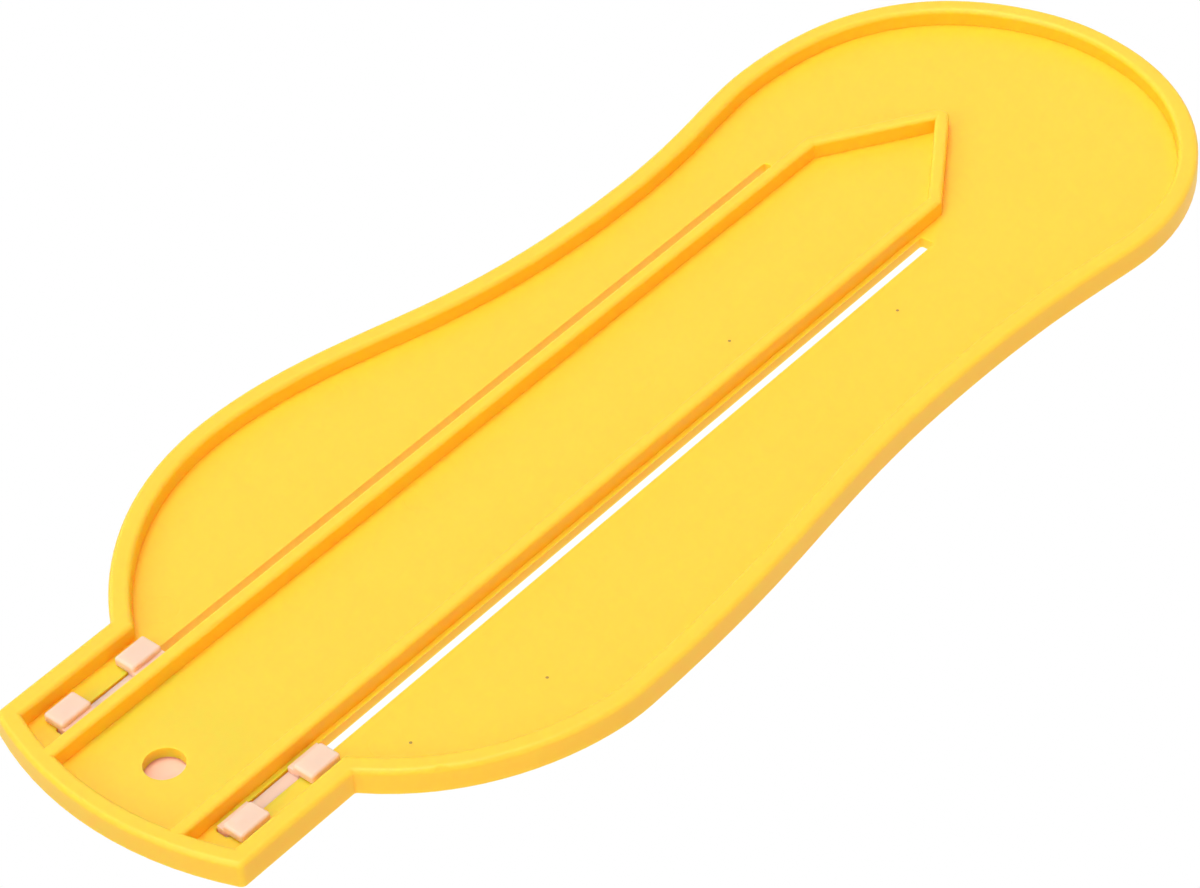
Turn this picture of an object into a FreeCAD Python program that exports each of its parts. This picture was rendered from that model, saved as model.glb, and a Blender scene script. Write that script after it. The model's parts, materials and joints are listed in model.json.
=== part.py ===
"""Children's foot gauge: a foot-shaped tray with a heel stop, and a toe slider that runs in two slots.

Millimetres. The gauge lies on its rim with the scale side up: +Z is up, and +X runs from the hanging
tab to the heel. Every piece is drawn from the middle of the tab's end edge, with the scale's axis as
the X axis, and moved to the middle of the gauge's outline last.
"""
import FreeCAD, Part
import math
import os

V = FreeCAD.Vector

# ---- foot plate: outline, with widths measured from the scale's axis ----
plate_length = 245.7        # tab end to the back of the heel
tab_end_radius = 66.0       # the tab's end edge is a shallow arc
tab_corner = 1.2
neck_x_outer = 29.8         # where the tab runs into the toe lobe, on the foot's outer side (+Y)
neck_x_inner = 30.5         # and on the foot's inner side (-Y)
neck_round = 0.5
lobe_x_outer = 71.3         # widest place of the toe lobe, outer side
lobe_outer = 50.0
lobe_x_inner = 73.4         # and inner side
lobe_inner = 47.6
waist_back_outer = 94.4     # the waist and the heel are placed from the back of the heel
waist_outer = 44.6
waist_back_inner = 84.6
waist_inner = 32.8
heel_back_outer = 39.9
heel_outer = 48.8
heel_back_inner = 47.3
heel_inner = 36.0
heel_back_y = 6.6           # the heel's last point lies a little to the outer side
neck_angle_outer = 58.5     # degrees that the outline turns out at the neck
neck_angle_inner = 51.5

# How far each curve's two handles reach, as a share of the curve's own span: a hand-drawn outline.
outer_fullness = ((0.51, 0.26), (0.48, 0.36), (0.64, 0.18), (0.52, 0.60))
inner_fullness = ((0.28, 0.49), (0.35, 0.54), (0.50, 0.30), (0.90, 0.20))
arc_pairs = 3               # each curve is cut as this many pairs of tangent arcs

# ---- foot plate: section ----
rim_height = 5.2            # table to scale face
web_thickness = 2.0         # the thin floor under the scale
rim_width = 3.5
edge_round = 0.9            # soft moulded edge of the rim
rib_round = 0.75            # and of the ribs
deck_round = 0.7            # softer edge round the scale face

# ---- foot plate: ribs, slots and hanging hole ----
track_half_width = 12.4     # scale's axis to the inner face of each rib
rib_thickness = 2.4
rib_to_slot = 0.9
rib_past_slot = 6.15        # the ribs stay straight this far past the slots' ends
rib_tip_length = 18.3       # then they close to an arrow's tip, measured inside
rib_tip_round = 1.8         # the tip's outer corner
slot_width = 2.8
slot_end_round = 0.6
hole_x = 15.5
hole_radius = 3.4

# ---- heel stop, moulded with the plate ----
heel_stop_setback = 8.7     # back of the plate to the stop's inner face, on the axis
heel_stop_margin = 4.0      # side of the heel to the stop's outer radius
heel_stop_thickness = 3.0
heel_stop_height = 19.0     # above the scale face
heel_stop_half_angle = 56.0 # degrees to each side of the axis
heel_stop_round = 0.8       # along the top
heel_stop_end_round = 1.2   # down the wall's two ends
heel_stop_foot = 0.8        # fillet where the wall meets the scale face

# ---- toe slider ----
shortest_foot = 53.7        # the slider's travel ends at this foot length
slider_start_x = 10.65      # parked at the tab
slider_length = 21.75
slider_edge_margin = 3.9    # side of the tab to the slider's side
slider_base_thickness = 2.2
slider_corner = 3.0
slider_round = 0.6
toe_wall_shoulder = 4.0     # slider's side to the toe wall's side
toe_wall_skirt = 1.0        # the upright wall is a half disc on a short skirt
toe_wall_thickness = 2.4
gusset_length = 13.0
gusset_height = 10.0
gusset_thickness = 2.0
gusset_y = 7.5
leg_drop = 0.3              # the leg's lower edge stops this far up inside the slot
clip_length = 6.4           # each leg ends in two snap clips, one at each end
clip_catch = 2.7            # the clip reaches this far out past the slot, under the web
clip_inner_set = 1.0        # the clip's inner face stands back from the leg's
clip_round = 0.5
clip_rise = 1.45            # the clips stay this far above the table

# ---- running clearances ----
slide_gap = 0.25            # slider to plate, above and below the web
leg_gap = 0.275             # leg to each side of its slot
end_gap = 0.4               # leg to the slot's ends
clip_gap = 1.55             # clip to the rim's inner face

joint_depth = 0.5           # how far two forms of one moulding reach into each other
tolerance = 1e-6            # two places closer than this are the same

# ---- places that follow from the sizes above ----
floor_z = rim_height - web_thickness
deck_z = rim_height
heel_datum_x = plate_length - heel_stop_setback     # the scale's zero
heel_stop_radius = heel_inner - heel_stop_margin - heel_stop_thickness
slider_end_x = slider_start_x + slider_length
slide_travel = heel_datum_x - shortest_foot - slider_end_x
slot_start_x = slider_start_x - end_gap
slot_end_x = slider_end_x + slide_travel + end_gap
slot_inner_y = track_half_width + rib_thickness + rib_to_slot
slot_mid_y = slot_inner_y + slot_width / 2
rib_shoulder_x = slot_end_x + rib_past_slot
rib_tip_x = rib_shoulder_x + rib_tip_length
leg_thickness = slot_width - 2 * leg_gap
clip_outer_y = slot_inner_y + slot_width + clip_catch
tab_half_width = clip_outer_y + clip_gap + rim_width
slider_half_width = tab_half_width - slider_edge_margin
toe_wall_radius = slider_half_width - toe_wall_shoulder
slider_base_z = deck_z + slide_gap
slider_top_z = slider_base_z + slider_base_thickness
origin = V(plate_length / 2, (lobe_outer - lobe_inner) / 2, 0)


def bezier(*points):
    """One cubic edge through the plane, from its four control points."""
    curve = Part.BezierCurve()
    curve.setPoles([V(x, y, 0) for x, y in points])
    return curve.toShape()


def outline_side(sign, neck_x, lobe, waist, heel, neck_angle, fullness):
    """Four curves of one side, neck to heel; lobe, waist and heel are (x, half width)."""
    neck = (neck_x, sign * tab_half_width)
    lobe, waist, heel = ((x, sign * half) for x, half in (lobe, waist, heel))
    back = (plate_length, heel_back_y)
    lean = math.radians(neck_angle)
    edges = []
    for start, end, (leave, arrive) in zip((neck, lobe, waist, heel), (lobe, waist, heel, back), fullness):
        span = end[0] - start[0]
        first = (start[0] + leave * span, start[1])
        second = (end[0] - arrive * span, end[1])
        if start is neck:
            reach = leave * span
            first = (start[0] + reach * math.cos(lean), start[1] + sign * reach * math.sin(lean))
        if end is back:
            second = (end[0], end[1] + arrive * (start[1] - end[1]))
        edges.append(bezier(start, first, second, end))
    return edges


def meeting_point(start, end):
    """Where two equal-handled tangent arcs between two (point, direction) stations meet."""
    (p0, t0), (p1, t1) = start, end
    chord = p1 - p0
    both = chord.dot(t0 + t1)
    reach = chord.dot(chord) / (both + math.sqrt(both ** 2 + 2 * (1 - t0.dot(t1)) * chord.dot(chord)))
    point = (p0 + t0 * reach + p1 - t1 * reach) / 2
    half_chord = (point - p0).normalize()
    return point, half_chord * (2 * t0.dot(half_chord)) - t0


def stations(edge):
    """Points on a curve, each with its direction, between which the curve is one arc."""
    found = []
    for share in range(arc_pairs + 1):
        at = edge.FirstParameter + (edge.LastParameter - edge.FirstParameter) * share / arc_pairs
        station = (edge.valueAt(at), edge.tangentAt(at))
        if found:
            found.append(meeting_point(found[-1], station))
        found.append(station)
    return found


def inset_arc(start, end, sign, inset):
    """The arc between two stations, moved inward as a whole; its mid point bulges to the start's side."""
    chord = end[0] - start[0]
    along = V(chord).normalize()
    bulge = chord.Length / 2 * along.cross(start[1]).z / (1 + along.dot(start[1]))
    middle = (start[0] + end[0]) / 2 + V(-along.y, along.x, 0) * bulge
    points = []
    for point, direction in (start, (middle, along), end):
        points.append(point + V(sign * direction.y, -sign * direction.x, 0) * inset)
    return Part.Arc(*points).toShape()


def outline_wire(inset=0):
    """The plan outline, or the line that runs one distance inside it."""
    half = tab_half_width - inset
    radius = tab_end_radius - inset
    corner_x = tab_end_radius - math.sqrt(radius ** 2 - half ** 2)
    edges = [Part.Arc(V(corner_x, half, 0), V(inset, 0, 0), V(corner_x, -half, 0)).toShape()]
    sides = (
        (1, neck_x_outer, (lobe_x_outer, lobe_outer), (plate_length - waist_back_outer, waist_outer),
         (plate_length - heel_back_outer, heel_outer), neck_angle_outer, outer_fullness),
        (-1, neck_x_inner, (lobe_x_inner, lobe_inner), (plate_length - waist_back_inner, waist_inner),
         (plate_length - heel_back_inner, heel_inner), neck_angle_inner, inner_fullness),
    )
    for sign, neck_x, lobe, waist, heel, neck_angle, fullness in sides:
        neck = V(neck_x + inset * math.tan(math.radians(neck_angle) / 2), sign * half, 0)
        edges.append(Part.makeLine(V(corner_x, sign * half, 0), neck))
        arcs = []
        for curve in outline_side(sign, neck_x, lobe, waist, heel, neck_angle, fullness):
            along = stations(curve)
            arcs += [inset_arc(start, end, sign, inset) for start, end in zip(along, along[1:])]
        if inset:
            edges.append(Part.makeLine(neck, arcs[0].Vertexes[0].Point))
        edges += arcs
    return Part.Wire(Part.__sortEdges__(edges))


def slab(wire, bottom, top):
    """A plate of the wire's shape between two heights."""
    face = Part.Face(wire)
    face.translate(V(0, 0, bottom))
    return face.extrude(V(0, 0, top - bottom))


def polygon(points):
    """A closed wire through plan points."""
    corners = [V(x, y, 0) for x, y in points]
    return Part.makePolygon(corners + corners[:1])


def box(x0, x1, y0, y1, z0, z1):
    """A block between two corners."""
    return Part.makeBox(x1 - x0, y1 - y0, z1 - z0, V(x0, y0, z0))


def upright_edges(shape):
    """The shape's vertical straight edges."""
    found = []
    for edge in shape.Edges:
        start, end = edge.Vertexes[0].Point, edge.Vertexes[-1].Point
        if abs(start.x - end.x) + abs(start.y - end.y) < tolerance < abs(start.z - end.z):
            found.append(edge)
    return found


def edges_at(shape, height):
    """The edges that lie wholly in one horizontal plane."""
    found = []
    for edge in shape.Edges:
        bounds = edge.BoundBox
        if abs(bounds.ZMin - height) < tolerance and abs(bounds.ZMax - height) < tolerance:
            found.append(edge)
    return found


def pencil(half_width, start, shoulder, tip):
    """Plan of the track: parallel sides that close to a point at the heel end."""
    return polygon([(start, half_width), (shoulder, half_width), (tip, 0),
                    (shoulder, -half_width), (start, -half_width)])


def tab_corners(blank, at_neck):
    """The two upright edges where the tab's sides start, or where they run into the neck."""
    found = []
    for edge in upright_edges(blank):
        point = edge.Vertexes[0].Point
        on_side = abs(abs(point.y) - tab_half_width) < tolerance
        if on_side and (point.x > neck_x_outer / 2) == at_neck:
            found.append(edge)
    return found


def tray():
    """Web and rim: the outline's plate, hollowed from below, with its edges rounded."""
    blank = slab(outline_wire(), 0, rim_height)
    blank = blank.makeFillet(neck_round, tab_corners(blank, at_neck=True))
    blank = blank.makeFillet(tab_corner, tab_corners(blank, at_neck=False))
    blank = blank.makeFillet(deck_round, edges_at(blank, deck_z))
    hollowed = blank.cut(slab(outline_wire(rim_width), 0, floor_z))
    return hollowed.makeFillet(edge_round, edges_at(hollowed, 0))


def ribs():
    """Two straight ribs under the plate that meet in an arrow's tip."""
    tip_angle = math.atan2(track_half_width, rib_tip_length)
    outer_shoulder = rib_shoulder_x + rib_thickness * math.tan(tip_angle / 2)
    outer_tip = rib_tip_x + rib_thickness / math.sin(tip_angle)
    start = rim_width / 2
    outside = slab(pencil(track_half_width + rib_thickness, start, outer_shoulder, outer_tip), 0, floor_z)
    tip = [edge for edge in upright_edges(outside) if edge.Vertexes[0].Point.x > outer_tip - joint_depth]
    outside = outside.makeFillet(rib_tip_round, tip)
    inside = slab(pencil(track_half_width, start, rib_shoulder_x, rib_tip_x), 0, floor_z)
    pair = outside.cut(inside)
    return pair.makeFillet(rib_round, edges_at(pair, 0))


def slot(sign):
    """One through slot that a leg of the slider runs in."""
    half = slot_width / 2
    middle = sign * slot_mid_y
    cutter = box(slot_start_x, slot_end_x, middle - half, middle + half, 0, deck_z)
    return cutter.makeFillet(slot_end_round, upright_edges(cutter))


def heel_stop():
    """An upright wall on an arc about the scale's axis, that the heel is set against."""
    centre = V(heel_datum_x - heel_stop_radius, 0, deck_z)
    spread = 2 * heel_stop_half_angle
    height = heel_stop_height
    outside = Part.makeCylinder(heel_stop_radius + heel_stop_thickness, height, centre, V(0, 0, 1), spread)
    inside = Part.makeCylinder(heel_stop_radius, height, centre, V(0, 0, 1), spread)
    wall = outside.cut(inside)
    wall.rotate(centre, V(0, 0, 1), -heel_stop_half_angle)
    wall = wall.makeFillet(heel_stop_end_round, upright_edges(wall))
    return wall.makeFillet(heel_stop_round, edges_at(wall, deck_z + height))


def heel_stop_foot_edges(plate):
    """The line where the heel stop's wall meets the scale face."""
    centre = V(heel_datum_x - heel_stop_radius, 0, deck_z)
    reach = heel_stop_radius + heel_stop_thickness + deck_round
    found = []
    for edge in edges_at(plate, deck_z):
        middle = edge.valueAt((edge.FirstParameter + edge.LastParameter) / 2)
        if middle.x > centre.x and middle.distanceToPoint(centre) < reach:
            found.append(edge)
    return found


def foot_plate():
    """The moulded tray: web, rim, ribs, slots, hanging hole and heel stop in one piece."""
    plate = tray().fuse(ribs()).removeSplitter()
    for sign in (1, -1):
        plate = plate.cut(slot(sign))
    plate = plate.cut(Part.makeCylinder(hole_radius, rim_height, V(hole_x, 0, 0)))
    plate = plate.fuse(heel_stop()).removeSplitter()
    return plate.makeFillet(heel_stop_foot, heel_stop_foot_edges(plate))


def toe_wall():
    """The upright wall that touches the toes, at the slider's heel side."""
    base_z = slider_top_z
    back = slider_end_x - toe_wall_thickness
    centre = V(back, 0, base_z + toe_wall_skirt)
    disc = Part.makeCylinder(toe_wall_radius, toe_wall_thickness, centre, V(1, 0, 0))
    below = box(back, slider_end_x, -toe_wall_radius, toe_wall_radius,
                base_z - slider_base_thickness / 2, base_z + toe_wall_skirt)
    upper = box(back, slider_end_x, -toe_wall_radius, toe_wall_radius,
                base_z + toe_wall_skirt, base_z + toe_wall_skirt + toe_wall_radius)
    return disc.common(upper).fuse(below).removeSplitter()


def gusset(y):
    """A triangular web that stiffens the toe wall from behind."""
    back = slider_end_x - toe_wall_thickness
    z = slider_top_z
    points = [V(back, y, z - joint_depth), V(back - gusset_length, y, z - joint_depth),
              V(back - gusset_length, y, z), V(back, y, z + gusset_height)]
    face = Part.Face(Part.makePolygon(points + points[:1]))
    face.translate(V(0, -gusset_thickness / 2, 0))
    return face.extrude(V(0, gusset_thickness, 0))


def leg(sign):
    """A leg through one slot, with a snap clip under the plate at each end."""
    inner = slot_mid_y - leg_thickness / 2
    web = box(slider_start_x, slider_end_x, inner, inner + leg_thickness,
              floor_z + leg_drop, slider_base_z + slider_base_thickness / 2)
    clip_top = floor_z - slide_gap
    for start in (slider_start_x, slider_end_x - clip_length):
        stem = box(start, start + clip_length, inner, inner + leg_thickness,
                   clip_top - joint_depth, floor_z + leg_drop)
        clip = box(start, start + clip_length, inner + clip_inner_set, clip_outer_y, clip_rise, clip_top)
        clip = clip.makeFillet(clip_round, upright_edges(clip) + edges_at(clip, clip_rise))
        web = web.fuse(stem).fuse(clip)
    web = web.removeSplitter()
    return web if sign > 0 else web.mirror(V(0, 0, 0), V(0, 1, 0))


def toe_slider():
    """The sliding bridge: base, toe wall, gussets, and two clipped legs in one moulding."""
    base = box(slider_start_x, slider_end_x, -slider_half_width, slider_half_width,
               slider_base_z, slider_top_z)
    corners = [edge for edge in upright_edges(base) if edge.Vertexes[0].X < slider_start_x + slider_corner]
    base = base.makeFillet(slider_corner, corners)
    base = base.makeFillet(slider_round, edges_at(base, slider_top_z))
    slider = base.fuse(toe_wall())
    for y in (-gusset_y, gusset_y):
        slider = slider.fuse(gusset(y))
    for sign in (1, -1):
        slider = slider.fuse(leg(sign))
    return slider.removeSplitter()


def save(name, shape):
    """Move a finished piece to the gauge's origin and write it."""
    shape = shape.copy()
    shape.translate(origin * -1)
    if not shape.isValid() or len(shape.Solids) != 1:
        raise ValueError(name + " is not one valid solid")
    shape.exportStep("parts/" + name + ".step")
    bounds = shape.BoundBox
    print(name, "volume", round(shape.Volume, 1), "size", [round(v, 2) for v in
          (bounds.XLength, bounds.YLength, bounds.ZLength)], "faces", len(shape.Faces))


os.makedirs("parts", exist_ok=True)
save("foot_plate", foot_plate())
save("toe_slider", toe_slider())
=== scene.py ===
# %% [markdown]
# # A children's foot gauge
#
# The real gauge is two plastic mouldings. The yellow tray is shaped like a foot, with a heel stop
# at one end. The pale slider clips into two slots and is pushed against the toes, where a printed
# scale gives the length. The shapes come from the packed model, so this script gives them their
# finish, prints the scale, adds the small marks that a mould leaves, and sets up the light and
# the camera.

# %% Load the packed model
import json
import math

import bpy
import numpy as np
from mathutils import Matrix, Vector


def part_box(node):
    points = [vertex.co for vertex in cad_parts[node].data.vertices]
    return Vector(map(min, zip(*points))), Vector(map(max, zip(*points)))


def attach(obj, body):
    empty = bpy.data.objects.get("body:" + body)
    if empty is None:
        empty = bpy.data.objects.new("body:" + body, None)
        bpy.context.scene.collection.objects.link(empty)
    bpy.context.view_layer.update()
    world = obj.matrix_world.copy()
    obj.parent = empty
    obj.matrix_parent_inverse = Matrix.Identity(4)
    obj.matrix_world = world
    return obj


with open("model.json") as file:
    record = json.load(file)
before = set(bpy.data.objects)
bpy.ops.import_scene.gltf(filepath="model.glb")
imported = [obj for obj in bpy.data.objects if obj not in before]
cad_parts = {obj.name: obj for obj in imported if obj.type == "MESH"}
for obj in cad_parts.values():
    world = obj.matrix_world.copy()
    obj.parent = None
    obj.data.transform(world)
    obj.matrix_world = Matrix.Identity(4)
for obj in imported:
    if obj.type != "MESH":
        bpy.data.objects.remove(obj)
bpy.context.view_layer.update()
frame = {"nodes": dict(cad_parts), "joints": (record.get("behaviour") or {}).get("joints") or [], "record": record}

# %% [markdown]
# ## Places that the model gives
#
# Numbers copied by hand from one model into another go wrong when the first one changes, so most
# places are read from the packed model. The hanging hole is a bore whose axis crosses the scale's
# middle line, so its record tells where the thin web lies and where that line is. The tray's box
# tells where the heel end is, and the slider's box where the toe wall stands. Only what no record
# holds, such as the slots' edges, is written here as a size.

# %% Read the places
mm = 0.001
mounts = {mount["name"]: mount for mount in frame["record"]["mounts"]}
web_middle = Vector(mounts["hanging_hole"]["pos_m"])
web_thickness = mounts["hanging_hole"]["dims"]["length_mm"] * mm
axis_y = web_middle.y                        # the scale's middle line
deck_z = web_middle.z + web_thickness / 2    # the scale face
floor_z = web_middle.z - web_thickness / 2   # the web's underside
heel_end_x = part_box("foot_plate")[1].x
toe_wall_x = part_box("toe_slider")[1].x
travel = frame["joints"][0]["range_m"][1]

heel_stop_setback = 8.7 * mm                 # the tray's heel end to the heel stop's face
zero_x = heel_end_x - heel_stop_setback      # the scale's zero
slot_inner = 15.7 * mm                       # the middle line to each slot's inner edge
slot_outer = 18.5 * mm                       # the middle line to each slot's outer edge
rib_middle = 13.6 * mm                       # the middle line to the middle of each rib
print("deck", round(deck_z, 4), "zero", round(zero_x, 4), "travel", travel)
print("parked reading, cm:", round((zero_x - toe_wall_x) * 100, 2))

# %% [markdown]
# ## Shader maths as plain sums
#
# A shader is a graph, and a graph that is built node by node is slow to read as code. The
# `Signal` class stands for one output socket. Python's own operators on it add Math nodes, so
# `1 - mask * 0.5` builds what it says. The reflected forms, such as `__rsub__`, let the plain
# number stand first.


# %% A signal
class Signal:
    """One output socket. Arithmetic with numbers or other signals adds Math nodes."""

    def __init__(self, tree, socket):
        self.tree = tree
        self.socket = socket

    def math(self, operation, *values):
        return self.tree.node(
            "ShaderNodeMath", {"operation": operation}, dict(enumerate(values)))

    def __add__(self, other):
        return self.math("ADD", self, other)

    def __sub__(self, other):
        return self.math("SUBTRACT", self, other)

    def __rsub__(self, other):
        return self.math("SUBTRACT", other, self)

    def __mul__(self, other):
        return self.math("MULTIPLY", self, other)

    def __truediv__(self, other):
        return self.math("DIVIDE", self, other)

    def __rtruediv__(self, other):
        return self.math("DIVIDE", other, self)

    __radd__ = __add__
    __rmul__ = __mul__

    def size(self):
        """The signal without its sign."""
        return self.math("ABSOLUTE", self)

    def capped(self):
        """The signal, at most 1."""
        return self.math("MINIMUM", self, 1.0)

    def floored(self):
        """The signal, at least 0."""
        return self.math("MAXIMUM", self, 0.0)

    def above(self, limit):
        """1 where the signal is over the limit, otherwise 0."""
        return self.math("GREATER_THAN", self, limit)

    def part(self, name):
        """Another output of the same node."""
        return Signal(self.tree, self.socket.node.outputs[name])


print("a signal knows:", [name for name in vars(Signal) if not name.startswith("_")])

# %% [markdown]
# ## One call for every other node
#
# Making and wiring a node takes five or six lines in Blender, and most shaders have a dozen of
# them. One method does it in a single call. It takes the node's type, then its settings, which
# come first because they can change which sockets there are, and then the value or link of each
# socket. A colour goes through a Mix node, because a Math node would turn it grey.


# %% A tree of nodes
class Tree:
    """The node tree of a material or of the world, emptied."""

    def __init__(self, owner):
        owner.use_nodes = True
        self.tree = owner.node_tree
        self.tree.nodes.clear()

    def node(self, kind, settings=None, inputs=None, output=0):
        """Add a node and give back one of its outputs, if it has any."""
        made = self.tree.nodes.new(kind)
        for name, value in (settings or {}).items():
            setattr(made, name, value)
        for name, value in (inputs or {}).items():
            socket = made.inputs[name]
            if isinstance(value, Signal):
                self.tree.links.new(value.socket, socket)
            else:
                socket.default_value = value
        return Signal(self, made.outputs[output]) if len(made.outputs) else None

    def mix(self, share, first, second):
        """A colour between two colours."""
        return self.node("ShaderNodeMix", {"data_type": "RGBA"},
                         {0: share, 6: first, 7: second}, output=2)

    def noise(self, place, scale, detail=2.0):
        """A cloud of values about 0.5."""
        return self.node("ShaderNodeTexNoise", {},
                         {"Vector": place, "Scale": scale, "Detail": detail})


print("a tree knows:", [name for name in vars(Tree) if not name.startswith("_")])

# %% [markdown]
# ## The two plastics
#
# A moulded plastic isn't one flat colour. Its pigment is slightly clouded, and drawn out along
# the way the melt ran. Light also goes into it and comes out a few millimetres on, red furthest,
# so that thin walls and inner corners glow instead of going grey. That glow could be painted on,
# but it would be wrong as soon as a lamp moved. Subsurface scattering works it out, with one
# distance for each colour. The mould's own texture shows as a very fine grain, and uneven
# cooling as broad waves. All of it reads Object coordinates, so it stays put when the piece
# moves.

# %% Plastic finish
cloud_scale = 38.0                           # features of a pattern for each metre
streak_scale = 160.0
grain_scale = 2600.0
wave_scale = 90.0
melt_flow = (0.25, 1.0, 1.0)                 # draws the streaks out four times along the tray
grain_height = 0.004 * mm
wave_height = 0.02 * mm


def plastic(name, colour, deep_colour, reach, spread, dents=None):
    """A moulded plastic.

    Tone = 0.8 cloud + 0.3 streak - 0.4, kept within 0 and 1, goes from colour to deep colour.
    Roughness = 0.41 + 0.08 cloud. The bump's height, in metres, is fine grain plus broad waves
    less any dents.
    """
    material = bpy.data.materials.new(name)
    tree = Tree(material)
    place = tree.node("ShaderNodeTexCoord").part("Object")
    cloud = tree.noise(place, cloud_scale, 3.0)
    drawn_out = tree.node("ShaderNodeMapping", {}, {"Vector": place, "Scale": melt_flow})
    streak = tree.noise(drawn_out, streak_scale)
    share = (cloud * 0.8 + streak * 0.3 - 0.4).floored().capped()
    tone = tree.mix(share, colour, deep_colour)
    grain = tree.noise(place, grain_scale) * grain_height
    height = grain + tree.noise(place, wave_scale) * wave_height
    if dents:
        height = height - dents(tree, place)
    bump = tree.node("ShaderNodeBump", {}, {"Height": height, "Strength": 1.0, "Distance": 1.0})
    shader = tree.node("ShaderNodeBsdfPrincipled", {}, {
        "Base Color": tone,
        "Roughness": cloud * 0.08 + 0.41,
        "Normal": bump,
        "IOR": 1.49,
        "Specular IOR Level": 0.4,
        "Subsurface Weight": 1.0,
        "Subsurface Radius": spread,
        "Subsurface Scale": reach,
    })
    tree.node("ShaderNodeOutputMaterial", {}, {"Surface": shader})
    return material


print("plastic grain, mm:", grain_height / mm, "waves, mm:", wave_height / mm)

# %% [markdown]
# ## Marks of the mould
#
# Where a rib stands under the thin web there is more plastic, which cools last and shrinks, so a
# faint groove shows on the other side. Round pins push the finished tray out of its mould, and
# each leaves a ring on the underside. Both are a few hundredths of a millimetre deep. A mesh
# could hold them, but only with very many small faces, so a bump does it: a bell curve of the
# distance from the rib's middle line, or from the ring's line.

# %% Dents over the ribs and round the pins
sink_depth = 0.025 * mm
sink_half_width = 1.3 * mm
rib_end_x = heel_end_x - 55.5 * mm           # the ribs run straight up to here
near_the_deck = 0.1 * mm
ring_depth = 0.02 * mm
ring_half_width = 0.18 * mm
pin_radius = 3.0 * mm
pin_places = [                               # x and y in millimetres
    (-30.5, -39.4), (-30.4, 41.2), (-39.4, -9.5), (3.8, -0.8), (-83.5, -25.5), (-83.5, 23.1)]


def bell(distance, half_width):
    """1 / (1 + (distance / half width)²)²."""
    share = distance / half_width
    fall = share * share + 1
    return 1 / (fall * fall)


def mould_marks(tree, place):
    """Depth = a groove over each rib on the scale face + a ring round each pin underneath."""
    axes = tree.node("ShaderNodeSeparateXYZ", {}, {"Vector": place})
    on_deck = axes.part("Z").above(deck_z - near_the_deck)
    over_rib = on_deck * (1 - axes.part("X").above(rib_end_x))
    deepest = over_rib * sink_depth
    from_rib = (axes.part("Y") - axis_y).size() - rib_middle
    depth = deepest * bell(from_rib, sink_half_width)
    for x, y in pin_places:
        centre = (x * mm, y * mm, floor_z)
        away = tree.node("ShaderNodeVectorMath", {"operation": "DISTANCE"},
                         {0: place, 1: centre}, output=1)
        depth = depth + bell(away - pin_radius, ring_half_width) * ring_depth
    return depth


print("pins:", len(pin_places), "ring depth, mm:", round(ring_depth / mm, 3))

# %% [markdown]
# ## Dress the tray and the slider
#
# The tray's yellow has almost no blue in it, so light that has been inside comes out a deep
# orange. The slider's pale peach holds much more white, so its glow is nearly neutral. Their
# meshes could be copied and changed here, but the shapes are right as they are. Each plastic
# only goes into the material slots of its own node.

# %% Yellow tray, pale slider
yellow = plastic("yellow_plastic", colour=(1.0, 0.605, 0.026, 1.0),
                 deep_colour=(1.0, 0.58, 0.022, 1.0), reach=4.5 * mm,
                 spread=(1.0, 0.3, 0.08), dents=mould_marks)
pale = plastic("pale_plastic", colour=(1.0, 0.59, 0.465, 1.0),
               deep_colour=(1.0, 0.575, 0.445, 1.0), reach=4.0 * mm,
               spread=(1.0, 0.7, 0.5))
for node_name, material in (("foot_plate", yellow), ("toe_slider", pale)):
    for slot in frame["nodes"][node_name].material_slots:
        slot.material = material
    print(node_name, "wears", material.name)

# %% [markdown]
# ## Ink
#
# The scale is printed in one dark blue ink, a layer a few hundredths of a millimetre thick. The
# tray's own shader could draw it, but then every digit would have to be written as shader maths.
# Here the ink is thin solid blocks with a finish of their own. Printed ink isn't quite even, so
# a noise makes it a little lighter and duller in places.

# %% Ink finish
ink_sunk = 0.01 * mm                         # how far the blocks reach into the deck
ink_top = 0.03 * mm                          # and how far they stand out of it
ink_noise_scale = 900.0
full_ink = (0.012, 0.022, 0.075, 1.0)
thin_ink = (0.035, 0.045, 0.11, 1.0)

ink = bpy.data.materials.new("scale_ink")
tree = Tree(ink)
place = tree.node("ShaderNodeTexCoord").part("Object")
thin = (tree.noise(place, ink_noise_scale, 3.0) * 2.2 - 0.9).floored().capped()   # 0 to 1
shader = tree.node("ShaderNodeBsdfPrincipled", {}, {
    "Base Color": tree.mix(thin * 0.5, full_ink, thin_ink),
    "Roughness": thin * 0.12 + 0.42,
})
tree.node("ShaderNodeOutputMaterial", {}, {"Surface": shader})
print(ink.name, "stands out, mm:", ink_top / mm)

# %% [markdown]
# ## From arrays to an object
#
# All that is printed on the plate or caught in it is worked out as an array of points and a list
# of faces. One helper turns these into an object whose own origin is the gauge's, so that nothing
# has to be moved into place. The piece then rides on the plate, and stays with it while the
# slider moves.


# %% A piece on the plate
def piece(name, points, faces, material, smooth=False):
    """A finished object from points and faces, which moves with the plate."""
    mesh = bpy.data.meshes.new(name)
    mesh.from_pydata(points.tolist(), [], [list(face) for face in faces])
    mesh.polygons.foreach_set("use_smooth", [smooth] * len(mesh.polygons))
    mesh.materials.append(material)
    made = bpy.data.objects.new(name, mesh)
    bpy.context.scene.collection.objects.link(made)
    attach(made, "plate")
    print(name, "faces", len(mesh.polygons))


print("pieces ride on: plate")

# %% [markdown]
# ## The centimetre scale
#
# A child's foot is read in centimetres from the heel stop's face, which is the scale's zero. One
# tick could be modelled and copied by an array modifier, but its length changes from tick to
# tick. As arrays it is simple: a tick's place along the scale is the reading itself, and the
# reading tells millimetre, half centimetre and centimetre apart.


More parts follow.
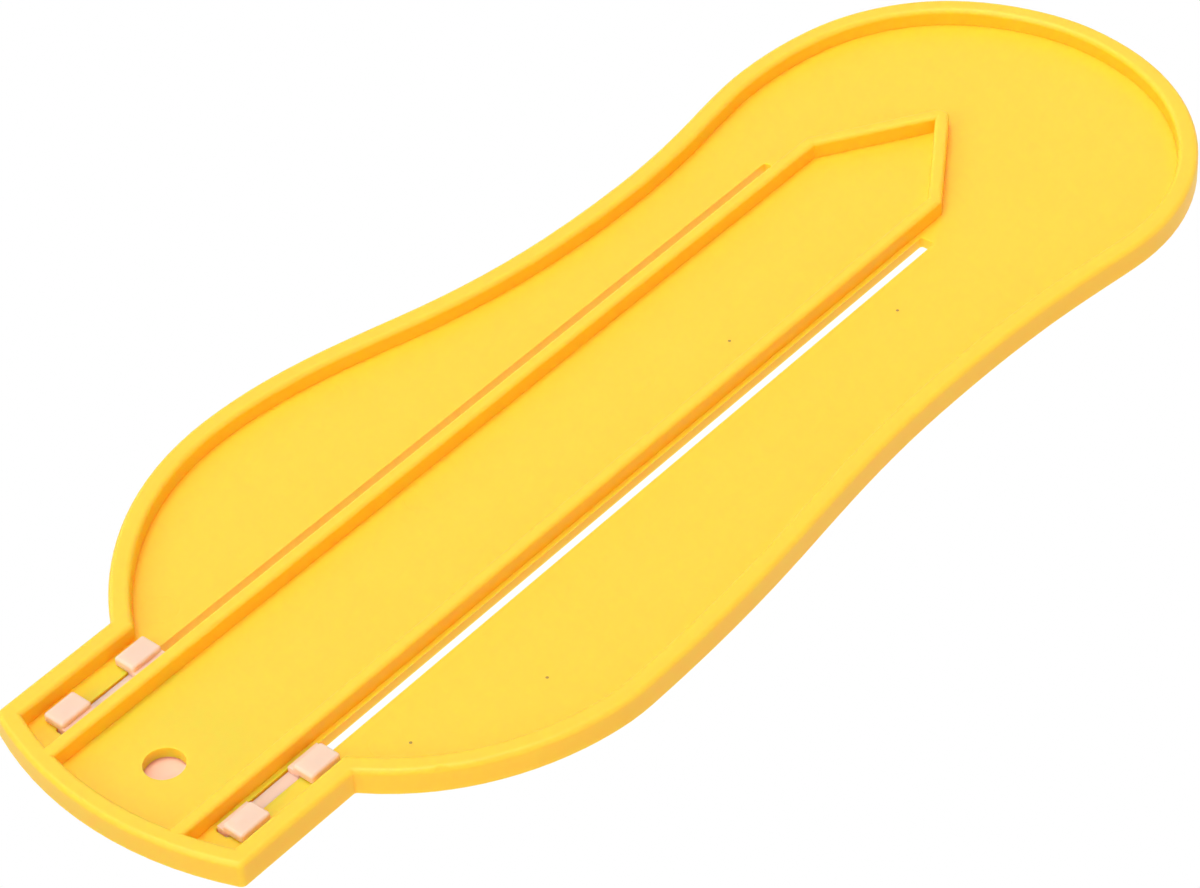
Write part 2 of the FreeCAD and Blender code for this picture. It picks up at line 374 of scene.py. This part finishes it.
# %% Bars of ink
def bars(x, y0, y1, width):
    """Corner = (x ± half the width, y0 or y1, bottom or top of the ink), for all bars at once."""
    across = np.array([-1, 1, 1, -1, -1, 1, 1, -1]) * width / 2
    along = np.array([0, 0, 1, 1, 0, 0, 1, 1])
    up = np.array([0, 0, 0, 0, 1, 1, 1, 1])
    x, y0, y1 = (np.array(value)[:, None] for value in np.broadcast_arrays(x, y0, y1))
    z = deck_z - ink_sunk + (ink_sunk + ink_top) * up
    points = np.stack((x + across, y0 + (y1 - y0) * along, x * 0 + z), axis=-1)
    block = np.array([(0, 3, 2, 1), (4, 5, 6, 7), (0, 1, 5, 4),
                      (1, 2, 6, 5), (2, 3, 7, 6), (3, 0, 4, 7)])
    faces = block + len(up) * np.arange(len(x))[:, None, None]
    return points.reshape(-1, 3), faces.reshape(-1, 4)


shortest, longest = 60, 205                  # millimetres of foot
tick_width = 0.28 * mm
millimetre_tick, half_tick, centimetre_tick = 2.6 * mm, 4.4 * mm, 6.2 * mm

reading = np.arange(shortest, longest + 1)
tick_x = zero_x - reading * mm
tick_length = np.select([reading % 10 == 0, reading % 5 == 0],
                        [centimetre_tick, half_tick], millimetre_tick)
tick_foot = slot_inner - 0.9 * mm            # the ticks start just inside the slots
for side, start, end in (("right", tick_foot - tick_length, tick_foot),
                         ("left", -tick_foot, tick_length - tick_foot)):
    piece("scale_ticks_" + side, *bars(tick_x, axis_y + start, axis_y + end, tick_width), ink)

# %% [markdown]
# ## Shoe sizes
#
# Beyond one slot a second row gives shoe sizes. A size is two thirds of a centimetre of shoe, and
# the shoe is 15 mm longer than the foot, so that there is room to grow. The size alone gives its
# tick's place, and the same bars of ink draw it.

# %% Ticks for the shoe sizes
size_step, growing_room = 20 / 3, 15         # millimetres
size_tick_length, size_tick_width = 3.0 * mm, 0.35 * mm

sizes = np.arange(18, 33)
size_x = zero_x - (sizes * size_step - growing_room) * mm
size_y = axis_y + slot_outer + 1.2 * mm      # the ticks start just outside the slot
piece("size_ticks", *bars(size_x, size_y, size_y + size_tick_length, size_tick_width), ink)

# %% [markdown]
# ## Numbers
#
# The scale has plain digits beside its ticks. They could be drawn stroke by stroke, but Blender's
# own font already has them. Each number is written as a text object and turned into a mesh while
# it is flat. Its points are then moved as one array onto the scale face. The text's own up is the
# way to the toes, so the numbers are read from the heel.

# %% Write the numbers
digit_share = 0.7                            # a digit's height as a share of the font's size
curve_steps = 3                              # straight pieces in each curve of a digit


def number(value, x, y, height):
    """The digits: a text's point (u, v, w) goes to (x - v, y + u, deck + w), centred on (x, y)."""
    text = bpy.data.curves.new("digits", "FONT")
    text.body = str(value)
    text.size = height / digit_share
    text.resolution_u = curve_steps
    text.extrude = (ink_top + ink_sunk) / 2
    holder = bpy.data.objects.new("digits", text)
    mesh = bpy.data.meshes.new_from_object(holder)
    uvw = np.empty(len(mesh.vertices) * 3)
    mesh.vertices.foreach_get("co", uvw)
    uvw = uvw.reshape(-1, 3)
    u, v, w = (uvw - (uvw.min(axis=0) + uvw.max(axis=0)) / 2).T
    points = np.column_stack((x - v, y + u, deck_z + (ink_top - ink_sunk) / 2 + w))
    faces = [list(face.vertices) for face in mesh.polygons]
    bpy.data.objects.remove(holder)
    bpy.data.curves.remove(text)
    bpy.data.meshes.remove(mesh)
    return points, faces


def row_of_numbers(name, values, xs, y, height):
    """One piece that holds a row of numbers."""
    points, faces = np.empty((0, 3)), []
    for value, x in zip(values, xs):
        digits, outline = number(value, x, y, height)
        faces += [[index + len(points) for index in face] for face in outline]
        points = np.concatenate((points, digits))
    piece(name, points, faces, ink)


centimetre_digits, size_digits = 5.2 * mm, 3.4 * mm
size_row_y = size_y + 6.4 * mm               # the size numbers stand beyond their ticks

whole = reading[reading % 10 == 0]
row_of_numbers("scale_numbers", whole // 10, zero_x - whole * mm, axis_y, centimetre_digits)
row_of_numbers("size_numbers", sizes, size_x, size_row_y, size_digits)

# %% [markdown]
# ## Specks
#
# A few grains of darker material are caught in the moulding. They could be dots in the tray's
# shader, but each would need its place tested at every point of the tray. Each is a low disc
# instead, and one profile carried round a circle makes them all: flat in the middle, rounded over
# at the edge, and a little sunk into the web so that no gap shows.


# %% Low discs under the web
def low_discs(places, radius, height, edge, sides=32, edge_steps=5, flat_share=0.3):
    """Point = place + r (cos a, sin a), z = the web's underside - drop.

    The profile of r and drop is a flat face, a quarter round of radius `edge` and a skirt.
    """
    quarter = np.linspace(0, math.pi / 2, edge_steps)
    r = np.concatenate(([flat_share * radius], radius - edge + edge * np.sin(quarter), [radius]))
    drop = np.concatenate(([height], height * np.cos(quarter), [-height]))
    angle = np.linspace(0, 2 * math.pi, sides, endpoint=False)
    x, y = (np.array(places).T * mm)[:, :, None, None]
    x, y = x + r[:, None] * np.cos(angle), y + r[:, None] * np.sin(angle)
    points = np.stack((x, y, x * 0 + floor_z - drop[:, None]), axis=-1)

    i, j = np.meshgrid(np.arange(len(r) - 1) * sides, np.arange(sides), indexing="ij")
    k = (j + 1) % sides
    quads = np.stack((i + k, i + sides + k, i + sides + j, i + j), axis=-1).reshape(-1, 4)
    starts = len(r) * sides * np.arange(len(places))[:, None]
    faces = (quads + starts[:, None]).reshape(-1, 4).tolist()
    faces += (np.arange(sides)[::-1] + starts).tolist()
    faces += (np.arange(sides) + (len(r) - 1) * sides + starts).tolist()
    return points.reshape(-1, 3), faces


speck_places = [(-58.0, 33.1), (43.2, 23.0), (20.3, 5.4), (-81.2, 25.7)]   # millimetres
print("specks:", len(speck_places))

# %% [markdown]
# ## Finish of the specks
#
# Burnt plastic is brown, and no grain of it is the same brown all through. One flat brown would
# do from far off, but from near it looks like a printed dot, so a noise finer than the specks
# themselves mixes a dark and a lighter brown.

# %% Brown specks
speck_noise_scale = 4000.0
dark_brown = (0.30, 0.16, 0.02, 1.0)
light_brown = (0.55, 0.32, 0.03, 1.0)

dark = bpy.data.materials.new("dark_speck")
tree = Tree(dark)
place = tree.node("ShaderNodeTexCoord").part("Object")
shader = tree.node("ShaderNodeBsdfPrincipled", {}, {
    "Base Color": tree.mix(tree.noise(place, speck_noise_scale), dark_brown, light_brown),
    "Roughness": 0.4,
})
tree.node("ShaderNodeOutputMaterial", {}, {"Surface": shader})
specks = low_discs(speck_places, radius=0.28 * mm, height=0.01 * mm, edge=0.08 * mm)
piece("specks", *specks, dark, smooth=True)

# %% [markdown]
# ## The camera
#
# The gauge is seen from under the tray, with a long lens from about three quarters of a metre
# away. The camera could be turned with a Track To constraint, but that can't lean it sideways.
# Its place and its axes are written in the gauge's own frame instead, as the columns of its
# matrix. The tab is nearest to it and the heel is furthest.

# %% Set the camera
camera_place = Vector((-0.40870, 0.37828, -0.48558))
camera_right = Vector((0.64774, 0.75986, 0.05524))
camera_up = Vector((0.53567, -0.40268, -0.74223))
camera_back = camera_right.cross(camera_up)

camera_data = bpy.data.cameras.new("camera")
camera_data.lens = 135.0                     # millimetres, on a sensor 36 mm wide
camera_data.sensor_width = 36.0
camera_data.clip_start = 0.05
camera_data.clip_end = 20.0
camera = bpy.data.objects.new("camera", camera_data)
bpy.context.scene.collection.objects.link(camera)
turn = Matrix((camera_right, camera_up, camera_back)).transposed()
camera.matrix_world = Matrix.Translation(camera_place) @ turn.to_4x4()
bpy.context.scene.camera = camera
print("camera at", tuple(round(v, 3) for v in camera_place),
      "distance", round(camera_place.length, 3))

# %% [markdown]
# ## The floor
#
# The gauge lies on its rim and the camera looks up at it, so a solid floor would hide it. The
# floor is therefore shown only to camera rays that meet its upper side. Every other ray passes
# through, and the light from below reaches the tray. A floor that is simply left out would leave
# the gauge with no shadow in the views from above.


# %% A pale floor
def pale_floor(half_width, drop):
    """A square under the gauge, a hair below the rim so that the two faces don't coincide."""
    corners = np.array([(-1, -1), (1, -1), (1, 1), (-1, 1)]) * half_width
    points = np.column_stack((corners, np.full(len(corners), -drop)))
    mesh = bpy.data.meshes.new("floor")
    mesh.from_pydata(points.tolist(), [], [(0, 1, 2, 3)])
    floor = bpy.data.objects.new("floor", mesh)
    bpy.context.scene.collection.objects.link(floor)
    return floor


floor = pale_floor(half_width=3.0, drop=0.5 * mm)
floor_paint = bpy.data.materials.new("pale_floor")
floor.data.materials.append(floor_paint)
tree = Tree(floor_paint)
camera_ray = tree.node("ShaderNodeLightPath").part("Is Camera Ray")
underside = tree.node("ShaderNodeNewGeometry").part("Backfacing")
paint = tree.node("ShaderNodeBsdfDiffuse", {}, {"Color": (0.86, 0.86, 0.86, 1.0)})
clear = tree.node("ShaderNodeBsdfTransparent")
shown = tree.node("ShaderNodeMixShader", {},
                  {0: camera_ray * (1 - underside), 1: clear, 2: paint})
tree.node("ShaderNodeOutputMaterial", {}, {"Surface": shown})
print("floor corners:", len(floor.data.vertices))

# %% [markdown]
# ## The world
#
# The room is plain white. Walls could be built for it, but a world needs no meshes. As a lamp, a
# white world would wash out every shade on the gauge, so it is white only to the camera and in
# reflections, and much weaker as light on the surfaces.

# %% A white room
world_light = 0.16                           # the world's strength as a lamp, where 1 is white

world = bpy.data.worlds.new("white_room")
bpy.context.scene.world = world
tree = Tree(world)
path = tree.node("ShaderNodeLightPath")
camera_or_gloss = path.part("Is Camera Ray") + path.part("Is Glossy Ray")
seen = (camera_or_gloss + path.part("Is Transmission Ray")).capped()
background = tree.node("ShaderNodeBackground", {}, {
    "Color": (1.0, 1.0, 1.0, 1.0),
    "Strength": seen * (1 - world_light) + world_light,
})
tree.node("ShaderNodeOutputWorld", {}, {"Surface": background})
print(world.name, "lights with", world_light)

# %% [markdown]
# ## The lamps
#
# Large softboxes near the gauge would give the same soft shades, but the floor would be bright
# beneath them and dark further off. Suns light the gauge and the whole floor evenly, and a wide
# sun's shadows are as soft as a softbox's. Four shine from below, where the camera looks from,
# and four from above. Each lamp's level is what it adds to a white face that is turned to it.
# The one at the wide side is slightly warm, as light is that comes back from a table. The lamps
# above are kept out of reflections, where the white room already stands for them.

# %% Wide suns
sun_width = math.radians(40)
white, warm = (1.0, 1.0, 1.0), (1.0, 0.80, 0.68)


def soft_lamp(name, direction, level, colour):
    """A wide sun. Its energy is pi times the level, because a matt face sends out 1/pi of it."""
    data = bpy.data.lights.new(name, "SUN")
    data.angle = sun_width
    data.energy = level * math.pi
    data.color = colour
    lamp = bpy.data.objects.new(name, data)
    towards = Vector(direction).normalized()
    turn = towards.to_track_quat("Z", "Y").to_matrix().to_4x4()
    lamp.matrix_world = Matrix.Translation(towards) @ turn
    lamp.visible_glossy = towards.z < 0
    bpy.context.scene.collection.objects.link(lamp)
    print(name, "level", level)


soft_lamp("lamp_below", (-0.05, -0.12, -1.0), 0.70, white)
soft_lamp("lamp_tab_end", (-0.85, 0.0, -0.5), 0.42, white)
soft_lamp("lamp_narrow_side", (0.0, -0.85, -0.5), 0.13, white)
soft_lamp("lamp_wide_side", (0.0, 0.85, -0.35), 0.23, warm)
soft_lamp("lamp_above_tab", (-0.85, 0.0, 0.5), 0.30, white)
soft_lamp("lamp_above_heel", (0.85, 0.0, 0.5), 0.36, white)
soft_lamp("lamp_above_wide_side", (0.0, 0.85, 0.5), 0.40, white)
soft_lamp("lamp_above_middle", (0.0, -0.35, 0.85), 0.38, white)

# %% [markdown]
# ## Colours as they are written
#
# Blender's usual view transform bends colours the way film does and would dull the yellow. The
# Standard one shows them as they are.

# %% Set the view transform
bpy.context.scene.view_settings.view_transform = "Standard"
print("view transform:", bpy.context.scene.view_settings.view_transform)

# %% [markdown]
# ## Hand over
